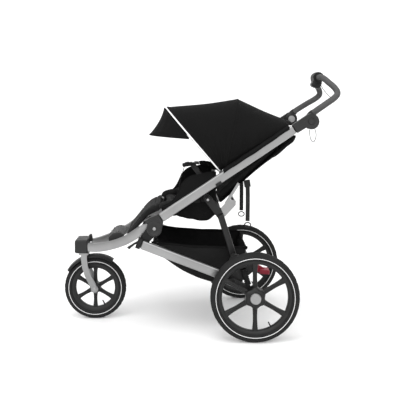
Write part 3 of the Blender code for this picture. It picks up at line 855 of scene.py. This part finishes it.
def visor():
    """The flip-down brim, from the front bow's upper part to a point ahead of it."""
    lowest = 0.905
    top = [p for p in bow(*FRONT_BOW, CANOPY_HALF, 241) if p.z > lowest]
    start = top[0]
    tip = Vector((-0.230, 0.0, 0.912))
    rows = []
    count = 17
    for i in range(count):
        t = i / (count - 1)
        row = []
        for k, p in list(enumerate(top))[::3]:
            share = 1.0 - (abs(p.y) / abs(start.y)) ** 2.4
            begin = Vector((p.x - 0.007, p.y * 0.985, p.z - 0.001))
            end = Vector((start.x - 0.010 + (tip.x - start.x) * share, p.y * 0.985,
                          tip.z - 0.010 * (1 - share)))
            q = begin.lerp(end, t)
            q.x += 0.013 * 4 * t * (1 - t) * share
            q.x += 0.0012 * math.sin(24 * math.pi * k / len(top)) * math.sin(math.pi * t)
            row.append(q)
        rows.append(row)
    cloth = skin("visor_cloth", rows, "black_fabric", 0.0022)
    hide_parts("sun_visor")
    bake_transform(cloth)
    settle(tube("visor_brim", rows[-1], 0.0060, 0.0050, "trim", 10, up=(0, 0, 1)), "visor")


def canopy_skirt():
    """The canopy's lower edge, wrapped over the top of the main tube."""
    for name, side in SIDES:
        rows = []
        for k in range(41):
            t = k / 40
            x = 0.108 + 0.300 * t
            top = tube_line(x) + 0.0252
            wave = 0.0008 * math.sin(23 * t) + 0.0012 * math.sin(7 * t + 1)
            rows.append([Vector((x, side * y, top + z)) for y, z in (
                (0.2405, 0.0050 + wave), (0.2470, 0.0052), (0.2540, 0.0036), (0.2640, 0.0026),
                (0.2730, 0.0018), (0.2775, -0.0012), (0.2788, -0.0060), (0.2790, -0.0110 + wave))])
        settle(skin(f"canopy_skirt_{name}", rows, "black_fabric", 0.0014), "upper_frame")
        settle(tube(f"canopy_skirt_edge_{name}", [r[-1] for r in rows], 0.0030, 0.0030, "trim", 8),
               "upper_frame")


canopy()
canopy_skirt()
visor()


# ---- seat

def fine(rows, count, columns):
    """A finer grid of points over coarse rows, smooth both ways."""
    wide = [curve_through(r, columns) for r in rows]
    tall = [curve_through([r[k] for r in wide], count) for k in range(columns)]
    return [[tall[k][i] for k in range(columns)] for i in range(count)]


def side_curve(outline, count):
    """A smooth closed loop in the side view."""
    return curve_through([(x, 0, z) for x, z in outline], count, closed=True)


def slab(name, start, end):
    """A swollen pad along a line in the side view, with the line's start and directions."""
    a, b = Vector((start[0], 0, start[1])), Vector((end[0], 0, end[1]))
    along = (b - a).normalized()
    up = Vector((-along.z, 0, along.x))
    thick, half = 0.019, 0.170
    thing = block(name, ((b - a).length, 2 * half, thick), (0, 0, 0), "grey_fabric",
                  edge=thick * 0.45)
    middle = (a + b) / 2
    turn = Matrix(((along.x, 0, up.x, middle.x), (0, 1, 0, 0), (along.z, 0, up.z, middle.z),
                   (0, 0, 0, 1)))
    thing.data.transform(turn)
    return inflate(thing, 0.006, 0.0085), a, along, up


def seat_cushion():
    thing, a, along, up = slab("seat_pad", (-0.166, 0.581), (0.054, 0.5455))
    panel = 0.118

    def channels(p, n):
        s = (p - a).dot(along)
        if n.dot(up) < 0.2:
            return 0.0
        rows = max(groove(s, c, 0.0032) for c in (0.045, 0.090, 0.135, 0.180))
        sides = groove(abs(p.y), panel, 0.0030)
        rim_line = groove(abs(p.y), 0.160, 0.0025)
        puff = -0.002 * math.sin(math.pi * min(1, max(0, s / 0.22))) * (1 - (p.y / 0.17) ** 2)
        return 0.0042 * max(rows * (abs(p.y) < panel), sides, rim_line * 0.5) + puff

    press(refine(thing), channels)
    settle(thing, "upper_frame", "seat_cushion")


def backrest():
    thing, a, along, up = slab("backrest_pad", (0.091, 0.6205), (0.376, 0.8765))
    panel = 0.112

    def channels(p, n):
        s = (p - a).dot(along)
        if n.dot(up) < 0.2:
            return 0.0
        rows = max(groove(s, c, 0.0034) for c in (0.062, 0.124, 0.186, 0.248, 0.310))
        return 0.0045 * max(rows * (abs(p.y) < panel), groove(abs(p.y), panel, 0.0030))

    press(refine(thing), channels)
    settle(thing, "seat_back", "seat_back")


WING = [(-0.186, 0.572), (-0.187, 0.588), (-0.176, 0.602), (-0.150, 0.613), (-0.120, 0.622),
        (-0.090, 0.633), (-0.050, 0.651), (-0.010, 0.668), (0.030, 0.684), (0.060, 0.694),
        (0.066, 0.660), (0.058, 0.610), (0.000, 0.590), (-0.080, 0.586), (-0.140, 0.574)]


def side_bolsters():
    """Puffy quilted wings that line the seat's sides."""
    for name, side in SIDES:
        outline = side_curve(WING, 84)
        middle = sum(outline, Vector()) / len(outline)
        rows = []
        for depth, shrink in ((0.1800, 0.93), (0.1815, 0.975), (0.1850, 1.0), (0.1905, 1.0),
                              (0.1950, 0.985), (0.1965, 0.95)):
            rows.append([Vector((middle.x + (p.x - middle.x) * shrink, side * depth,
                                 middle.z + (p.z - middle.z) * shrink)) for p in outline])
        thing = inflate(hoops(f"seat_wing_{name}", rows, "grey_fabric"), 0.005, 0.0080, 5.0)

        def channels(p, n):
            if abs(n.y) < 0.15:
                return 0.0
            slope = p.x + 0.35 * (p.z - 0.60)
            return 0.0040 * max(groove(slope, c, 0.0030)
                                for c in (-0.150, -0.110, -0.070, -0.030, 0.010, 0.045))

        press(refine(thing), channels)
        settle(thing, "upper_frame")


def leg_rest():
    """The padded apron that hangs from the cushion's front."""
    outline = [(-0.3430, 0.4420), (-0.3330, 0.4520), (-0.3150, 0.4740), (-0.2955, 0.4985),
               (-0.2720, 0.5280), (-0.2473, 0.5545), (-0.2240, 0.5720), (-0.2000, 0.5830),
               (-0.1820, 0.5890), (-0.1790, 0.5760), (-0.1800, 0.5620), (-0.1920, 0.5570),
               (-0.2180, 0.5460), (-0.2450, 0.5310), (-0.2660, 0.5100), (-0.2860, 0.4870),
               (-0.3120, 0.4610), (-0.3370, 0.4355)]
    rows = [[Vector((p.x, y, p.z)) for p in side_curve(outline, 60)]
            for y in (-0.147, -0.144, -0.137, -0.10, 0.0, 0.10, 0.137, 0.144, 0.147)]
    thing = inflate(hoops("leg_rest_pad", rows, "grey_fabric"), 0.005, 0.0050, 3.0)
    top = Vector((-0.66, 0, 0.75)).normalized()

    def channels(p, n):
        s = Vector((p.x + 0.3430, 0, p.z - 0.4420)).dot(Vector((0.75, 0, 0.66)))
        if n.dot(top) < 0.2:
            return 0.0
        rows_cut = max(groove(s, c, 0.0030) for c in (0.018, 0.105, 0.195))
        return 0.0035 * max(rows_cut, groove(abs(p.y), 0.132, 0.0028))

    press(refine(thing), channels)
    settle(thing, "upper_frame", "leg_rest")


def sling():
    """The hung seat shell with its hems and the strips that join it to the tubes."""
    coarse = []
    for x, low, high in ((-0.170, 0.556, 0.585), (-0.115, 0.536, 0.620), (-0.060, 0.528, 0.712),
                         (0.030, 0.517, 0.740), (0.075, 0.545, 0.748)):
        coarse.append([(x, -0.206, high), (x, -0.202, (low + high) / 2), (x, -0.187, low + 0.006),
                       (x, -0.120, low - 0.001), (x, 0.0, low - 0.004), (x, 0.120, low - 0.001),
                       (x, 0.187, low + 0.006), (x, 0.202, (low + high) / 2), (x, 0.206, high)])
    rows = fine(coarse, 25, 61)
    for i, row in enumerate(rows):
        for k, p in enumerate(row):
            p.z += 0.0012 * math.sin(5.1 * k / 6 + 1.3 * i) * math.sin(math.pi * i / 24)
    thing = skin("seat_shell", rows, "black_fabric", 0.0022)
    settle(thing, "upper_frame", "seat_sling")
    for name, row in (("front", rows[0]), ("rear", rows[-1])):
        settle(tube(f"seat_shell_hem_{name}", row, 0.008, 0.0046, "trim", 10, up=(1, 0, 0)),
               "upper_frame")
    for name, side in SIDES:
        line = [r[0 if side < 0 else -1] for r in rows]
        settle(tube(f"seat_shell_edge_{name}", line, 0.0046, 0.008, "trim", 10), "upper_frame")
        wall = []
        for k, high in enumerate(line):
            x = -0.150 + 0.235 * k / (len(line) - 1)
            low = Vector((x, side * 0.2500, tube_line(x) + 0.006))
            wall.append([high, high.lerp(low, 0.5) + Vector((0, side * 0.004, -0.008)), low])
        settle(skin(f"seat_side_{name}", fine(wall, 25, 9), "black_fabric", 0.0020), "upper_frame")


POCKET = [(0.102, 0.6065), (0.160, 0.660), (0.240, 0.731), (0.340, 0.8205), (0.4385, 0.9095),
          (0.4560, 0.9120), (0.4650, 0.9045), (0.4580, 0.8750), (0.4255, 0.8510),
          (0.3825, 0.8130), (0.3355, 0.7895), (0.2895, 0.7600), (0.2440, 0.7275),
          (0.1700, 0.6560), (0.1140, 0.5995)]


def pocket():
    """The back shell, full in its middle, with a few wrinkles and two seams."""
    edge = side_curve(POCKET, 96)
    middle = sum(edge, Vector()) / len(edge)
    base, high = (Vector((x, 0, z)) for x, z in (POCKET[0], POCKET[4]))
    line = (high - base).normalized()
    rows = []
    count_y = 41
    for i in range(count_y):
        u = -1 + 2 * i / (count_y - 1)
        full = (1 - abs(u) ** 9) ** 0.5
        row = []
        for p in edge:
            flat = base + line * (p - base).dot(line)
            off = p - flat
            droop = 0.82 + 0.18 * math.cos(u * math.pi * 0.9)
            crease = 1 - 0.05 * groove(abs(u), 0.62, 0.03)
            q = flat + off * (0.25 + 0.75 * full) * droop * crease
            q = q + (middle - q) * 0.02 * (1 - full)
            row.append(Vector((q.x, u * 0.185, q.z)))
        rows.append(row)
    thing = hoops("back_shell", rows, "black_fabric")

    def wrinkles(p, _):
        s = (p - base).dot(line)
        return (0.0012 * math.sin(41 * s + 6 * p.y) * math.sin(19 * p.y + 3)
                + 0.0022 * groove(s, 0.315, 0.004) + 0.0022 * groove(s, 0.165, 0.004))

    press(thing, wrinkles)
    settle(thing, "upper_frame", "back_pocket")


seat_cushion()
backrest()
side_bolsters()
leg_rest()
sling()
pocket()


# ---- basket

BASKET = ((-0.205, 0.402, 0.418, 0.200), (-0.222, 0.378, 0.417, 0.200),
          (-0.160, 0.330, 0.413, 0.200), (-0.080, 0.280, 0.408, 0.200),
          (0.010, 0.238, 0.402, 0.200), (0.090, 0.222, 0.398, 0.200),
          (0.160, 0.235, 0.395, 0.198), (0.200, 0.288, 0.392, 0.186),
          (0.211, 0.340, 0.391, 0.184), (0.224, 0.378, 0.390, 0.184))


def basket():
    """The hung basket with its hem, seams and four webbing loops round the tubes."""
    coarse = []
    for x, low, high, half in BASKET:
        side = [(half, high), (half - 0.001, low + 0.75 * (high - low)),
                (half - 0.003, low + 0.45 * (high - low)), (half - 0.012, low + 0.012),
                (half - 0.050, low + 0.002), (half * 0.375, low)]
        coarse.append([(x, -y, z) for y, z in side] + [(x, y, z) for y, z in reversed(side)])
    rows = fine(coarse, 57, 85)
    for i, row in enumerate(rows):
        t = i / (len(rows) - 1)
        for k, p in enumerate(row):
            u = k / (len(row) - 1)
            wall = math.exp(-(min(u, 1 - u) / 0.16) ** 2)
            sag = 0.0035 * math.sin(math.pi * t) * math.sin(math.pi * min(1, min(u, 1 - u) / 0.25))
            crease = 0.0016 * math.sin(17 * t + 9 * u) * math.sin(31 * u - 5 * t)
            hang = 0.0060 * wall * math.sin(math.pi * t) ** 2 * (1 - min(1, min(u, 1 - u) / 0.08))
            p.y += math.copysign(1, p.y) * crease * wall * 1.2
            p.z += crease * 0.7 - hang
            p.y *= 1 + sag * 0.9
    # The basket's cloth is lighter than the other black fabric: painted light on its shaded inside.
    bag = skin("basket_cloth", rows, "basket_fabric_painted_light", 0.0020)
    settle(bag, "chassis", "basket")
    rim_line = ([r[0] for r in rows] + rows[-1][1:-1] + [r[-1] for r in reversed(rows)]
                + rows[0][::-1][1:-1])
    parts = [tube("basket_hem", rim_line[::2], 0.0052, 0.012, "trim", 10, closed=True, power=3)]
    for name, column in (("left", 19), ("right", len(rows[0]) - 20)):
        parts.append(tube(f"basket_seam_{name}", [r[column] for r in rows[2:-2]], 0.0040, 0.0040,
                          "trim", 8))
    for name, side in SIDES:
        front = curve_through([(-0.198, side * 0.2010, 0.416), (-0.204, side * 0.2200, 0.418),
                               (-0.208, side * 0.2340, 0.420)], 11)
        rear = curve_through([(0.150, side * 0.2000, 0.394), (0.152, side * 0.2090, 0.388),
                              (0.153, side * 0.2200, 0.378)], 11)
        parts.append(tape(f"basket_strap_front_{name}", front, 0.018, 0.0018, (1, 0, 0.3)))
        parts.append(tape(f"basket_strap_rear_{name}", rear, 0.018, 0.0018, (1, 0, 0.3)))
    for part in parts:
        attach(part, "chassis")
    for part in [bag, *parts]:
        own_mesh(part)


# ---- harness

def cover(name, path, width, thickness, sides):
    """A padded sleeve round a strap, narrower at its ends."""
    return tube(name, path, width, thickness, "black_fabric", sides, power=2.8,
                taper=lambda t: 1 - 0.35 * abs(2 * t - 1) ** 8)


def harness():
    """Padded shoulder and crotch straps, hip straps and the buckle between them."""
    pads = [(0.137, 0.697), (0.122, 0.716), (0.100, 0.739), (0.078, 0.757), (0.052, 0.768),
            (0.020, 0.771), (-0.012, 0.768)]
    for name, side in SIDES:
        path = curve_through([(x, side * (0.045 - 0.010 * (0.137 - x) / 0.15), z)
                              for x, z in pads], 49)
        stitched = path[3:44]
        pad = cover(f"shoulder_pad_{name}", stitched, 0.040, 0.0125, 28)

        def channels(p, _, line=stitched):
            near = min(range(len(line)), key=lambda i: (line[i] - p).length_squared)
            edges = 0.0018 * (groove(abs(p.y), 0.0305, 0.0016) + groove(abs(p.y), 0.0580, 0.0016))
            return edges + (0.0022 if near in (10, 20, 30) else 0.0)

        press(pad, channels)
        settle(refine(pad), "seat_back")
        settle(tape(f"shoulder_strap_{name}", path, 0.025, 0.0022), "seat_back")
        waist = curve_through([(-0.030, side * 0.020, 0.762), (-0.005, side * 0.060, 0.735),
                               (0.035, side * 0.120, 0.672), (0.060, side * 0.150, 0.628)], 31)
        settle(tape(f"hip_strap_{name}", waist, 0.025, 0.0022, (0.4, 0, 1)), "seat_back")
        settle(block(f"strap_slider_{name}", (0.022, 0.036, 0.0062),
                     (-0.006, side * 0.0345, 0.7705), "black_plastic", (0, 3, 0)), "seat_back")
    lean = (0, -9, 0)
    buckle = joined(
        "harness_buckle",
        block("buckle_shell", (0.052, 0.050, 0.017), (-0.052, 0, 0.7625), "black_plastic", lean,
              0.0065, 4),
        block("buckle_button", (0.020, 0.020, 0.006), (-0.054, 0, 0.7715), "grey_plastic", lean,
              0.0025),
        block("buckle_tongue", (0.020, 0.058, 0.008), (-0.025, 0, 0.7670), "black_plastic", lean,
              0.003))
    settle(buckle, "seat_back", "harness")
    path = curve_through([(-0.0885, 0, 0.5905), (-0.0905, 0, 0.640), (-0.082, 0, 0.700),
                          (-0.066, 0, 0.757)], 31)
    crotch = tape("crotch_strap", path, 0.026, 0.0024)
    pad = refine(cover("crotch_pad", path[4:24], 0.042, 0.0110, 24))
    for piece in (crotch, pad):
        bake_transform(piece)


# ---- handlebar

GRIP = [(0.497, 0.239, 1.003), (0.530, 0.238, 1.027), (0.585, 0.225, 1.063),
        (0.630, 0.204, 1.092), (0.6476, 0.187, 1.114), (0.640, 0.168, 1.138),
        (0.618, 0.140, 1.165), (0.600, 0.112, 1.186), (0.594, 0.075, 1.193),
        (0.594, 0.042, 1.1935)]


def handlebar():
    """Foam-covered bar with its joint discs, brake housing and ribbed twist grip."""
    points = [(x, -y, z) for x, y, z in GRIP] + [(x, y, z) for x, y, z in reversed(GRIP)]
    route = curve_through(points, 181)
    parts = [tube("handle_tube", route, 0.0245, 0.0245, "black_paint", 24)]
    for first, last in ((6, 83), (98, 175)):
        parts.append(tube(f"foam_{first}", route[first:last], 0.0292, 0.0292, "foam", 28,
                          taper=lambda t: 1 - 0.05 * abs(2 * t - 1) ** 40))
    for cut in (83, 97):
        parts.append(tube(f"grip_ring_{cut}", route[cut - 1:cut + 2], 0.0298, 0.0298,
                          "black_plastic", 28))
    parts.append(block("brake_housing", (0.046, 0.060, 0.042), (0.588, 0, 1.163), "black_plastic",
                       (0, 24, 0), 0.012, 5))
    for name, side in SIDES:
        base = Vector((HANDLE_PIVOT[0], side * 0.2385, HANDLE_PIVOT[1]))
        profile = [(0.0, -0.0142), (0.026, -0.0142), (0.0295, -0.012), (0.0300, -0.009),
                   (0.0300, 0.009), (0.0295, 0.012), (0.026, 0.0142), (0.0, 0.0142)]
        parts.append(turned(f"disc_{name}", profile, base, "black_plastic", 64, False))
        neck = curve_through([(0.508, side * 0.2387, 0.990), (0.512, side * 0.2387, 1.010),
                              (0.527, side * 0.238, 1.0245)], 13)
        parts.append(tube(f"neck_{name}", neck, 0.038, 0.026, "black_plastic", 24,
                          up=(1, 0, -0.5), power=2.6, taper=lambda t: 1.1 - 0.25 * t))
    settle(joined("handle_grip", *parts), "handlebar", "handlebar")
    ribs = []
    count, radius = 20, 0.0269
    for k in range(count):
        a = 2 * math.pi * k / count
        x = GRIP[-1][0] + radius * math.cos(a)
        z = GRIP[-1][2] + radius * math.sin(a)
        ribs.append(tube(f"grip_rib_{k}", [(x, y, z) for y in (-0.026, -0.0255, 0.0, 0.0255, 0.026)],
                         0.0032, 0.0024, "black_plastic", 8, up=(math.sin(a), 0, -math.cos(a))))
    settle(joined("brake_grip_ribs", *ribs), "hand_brake")
    for name, side in SIDES:
        profile = [(0.0, 0.0), (0.0175, 0.0), (0.0175, -side * 0.0020), (0.0155, -side * 0.0036),
                   (0.0, -side * 0.0042)]
        settle(turned(f"cover_button_{name}", profile, (HANDLE_PIVOT[0], side * 0.2240,
                                                        HANDLE_PIVOT[1]), "button_plastic", 56,
                      False), "handlebar")


CABLE = [(0.6000, -0.037, 1.1640), (0.6060, -0.050, 1.1450), (0.6140, -0.085, 1.1220),
         (0.6220, -0.130, 1.1010), (0.6270, -0.170, 1.0870), (0.6260, -0.196, 1.0745)]


def cable():
    """The brake's cable, from the twist grip down to the bar's left arm."""
    route = curve_through(CABLE, 31)
    line = tube("brake_line", route, 0.0032, 0.0032, "black_plastic", 10)
    settle(line, "handlebar", "brake_cable")
    clip = [(0.6245, -0.192, 1.0810), (0.6250, -0.195, 1.0780), (0.6255, -0.198, 1.0750)]
    settle(tube("cable_clip", clip, 0.0090, 0.0110, "black_plastic"), "handlebar")


# ---- fittings

def dome(name, x, z, side, outer, radius, body, look="steel", height=0.003):
    """A domed bolt or rivet head on an outer face."""
    profile = [(0.0, 0.0), (radius, 0.0), (radius, side * height * 0.35),
               (radius * 0.86, side * height * 0.75), (radius * 0.5, side * height),
               (0.0, side * height * 1.05)]
    settle(turned(name, profile, (x, side * (outer + 0.0002), z), look, 40, False), body)


def fittings():
    for name, side in SIDES:
        profile = [(0.0, 0.0), (0.0335, 0.0), (0.0345, side * 0.0012), (0.0330, side * 0.0034),
                   (0.0270, side * 0.0040), (0.0255, side * 0.0026), (0.0, side * 0.0022)]
        settle(turned(f"hinge_disc_{name}", profile, (HINGE.x, side * 0.2805, HINGE.z),
                      "grey_plastic", 72, False), "upper_frame")
        dome(f"hinge_bolt_{name}", HINGE.x, HINGE.z, side, 0.2828, 0.0075, "upper_frame")
        dome(f"link_rivet_{name}", 0.037, 0.627, side, 0.2760, 0.0060, "upper_frame")
        dome(f"leg_rivet_{name}", 0.160, 0.355, side, 0.2575, 0.0065, "chassis")
        dome(f"arm_bolt_{name}", 0.150, 0.255, side, 0.2805, 0.0085, f"swing_arm_{name}",
             "black_plastic", 0.004)
        dome(f"fork_nut_{name}", FRONT_HUB[0], FRONT_HUB[1], side, 0.0445, 0.0095, "fork")
        dome(f"bow_rivet_{name}", 0.105, 0.742, side, 0.2420, 0.005, "upper_frame")
    settle(block("frame_clip", (0.030, 0.010, 0.012), (0.086, -0.2815, 0.7005), "black_plastic",
                 (0, -33.7, 0), 0.003), "upper_frame")


def foot_cover():
    """Soft moulded tread over the footrest, with grip ribs."""
    soften("footrest", "grey_plastic", 0.004, 25)
    ribs = []
    for k, z in enumerate((0.4195, 0.4315, 0.4375, 0.4415, 0.4435, 0.4405)):
        x = -0.4345 + 0.012 * k
        ribs.append(tube(f"tread_rib_{k}", [(x - 0.0012, y / 100, z + 0.0012)
                                            for y in (-8.2, -8.1, -4, 0, 4, 8.1, 8.2)],
                         0.0035, 0.0030, "black_plastic", 8, up=(1, 0, 0)))
    settle(joined("footrest_ribs", *ribs), "front_frame")


def bellows():
    """Ribbed rubber sleeves over the rear springs."""
    for name, side in SIDES:
        foot = Vector((SPRING_FOOT[0], side * SPRING_Y, SPRING_FOOT[1]))
        run = Vector((SPRING_TOP[0], side * SPRING_Y, SPRING_TOP[1])) - foot
        line = [foot + run * (0.205 + 0.735 * t / 64) for t in range(65)]
        sleeve = tube(f"spring_sleeve_{name}", line, 0.0262, 0.0262, "tyre", 32,
                      taper=lambda t: 1 + 0.115 * math.cos(2 * math.pi * 8 * t))
        settle(sleeve, "chassis", f"spring_{name}")
        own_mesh(sleeve)


bellows()
basket()
harness()
handlebar()
cable()
fittings()
foot_cover()
